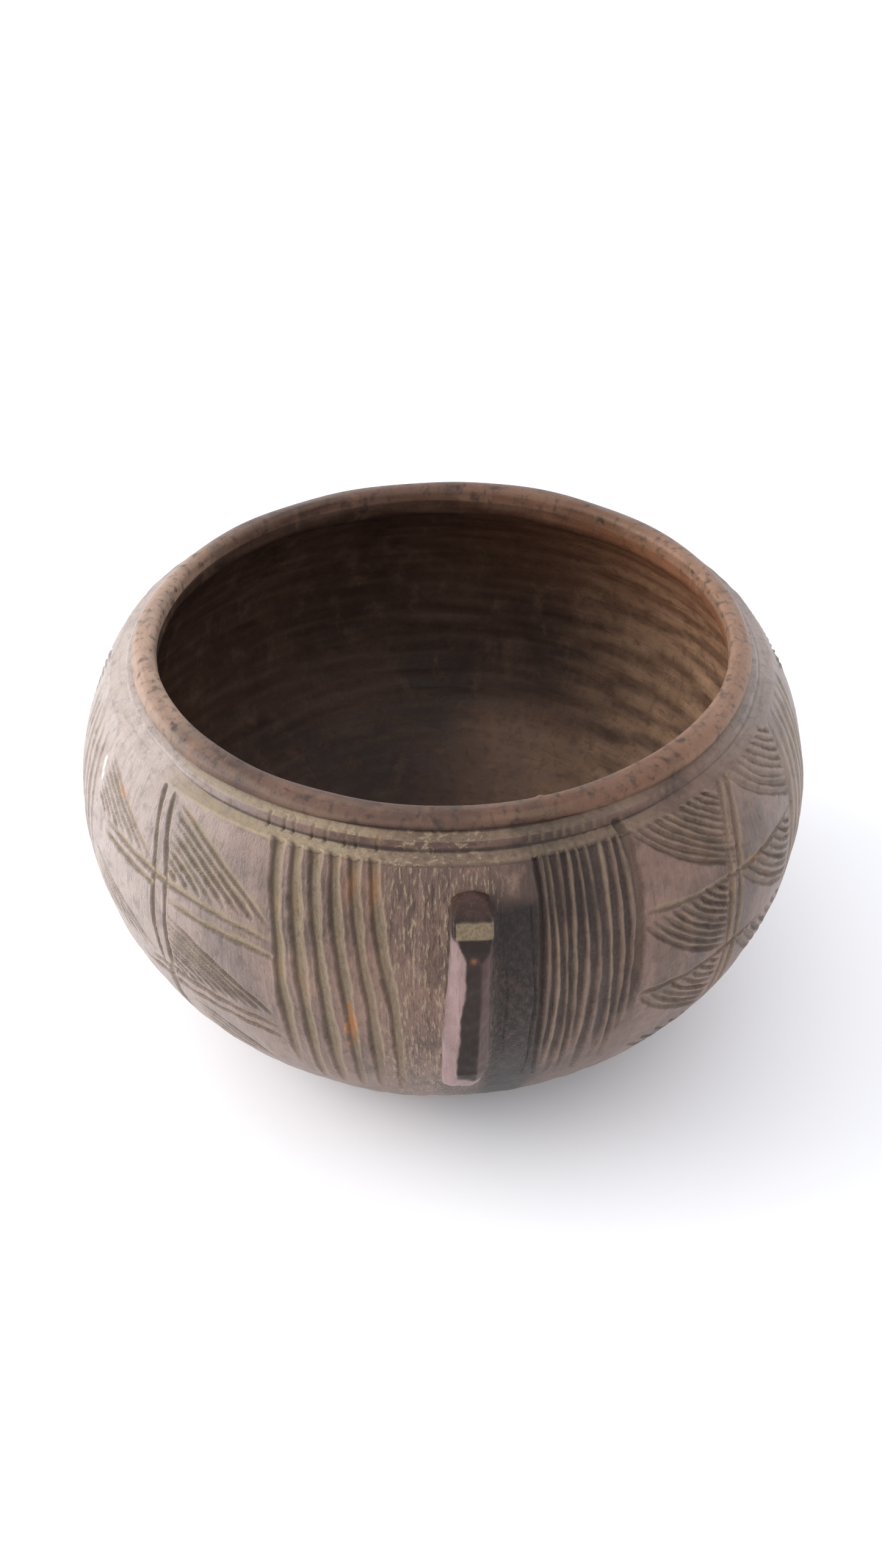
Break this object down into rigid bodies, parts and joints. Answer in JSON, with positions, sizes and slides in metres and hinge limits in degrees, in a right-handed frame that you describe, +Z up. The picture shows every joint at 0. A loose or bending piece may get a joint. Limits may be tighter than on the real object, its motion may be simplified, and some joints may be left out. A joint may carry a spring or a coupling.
{
  "type": "carved wooden bowl",
  "caption": "Round carved wooden bowl with a wide mouth, a scored collar under the lip, fluted bands and fan panels cut in its side, and one upright lug handle.",
  "frame": {"origin": "centre of the flat underside that the bowl stands on", "axes": "+Z up along the mouth's axis, -Y towards the lug handle, +X to the right when the handle faces the viewer"},
  "size_m": [0.22, 0.2275, 0.1275],
  "materials": {
    "outer_wood": "dry weathered grey-brown wood with pale dust in the cuts and fine upright tool marks",
    "collar_wood": "dry wood with pale khaki dust lying in two grooves",
    "lip_wood": "worn orange-brown wood, slightly polished by handling, with dark blotches",
    "handle_wood": "hard reddish-brown wood polished by handling, with paler worn facets"
  },
  "bodies": {
    "root": {"base": "outer_wood", "lower_body": "outer_wood", "belly": "outer_wood", "shoulder": "outer_wood", "collar": "collar_wood", "lip": "lip_wood", "handle": "handle_wood"}
  },
  "joints": []
}
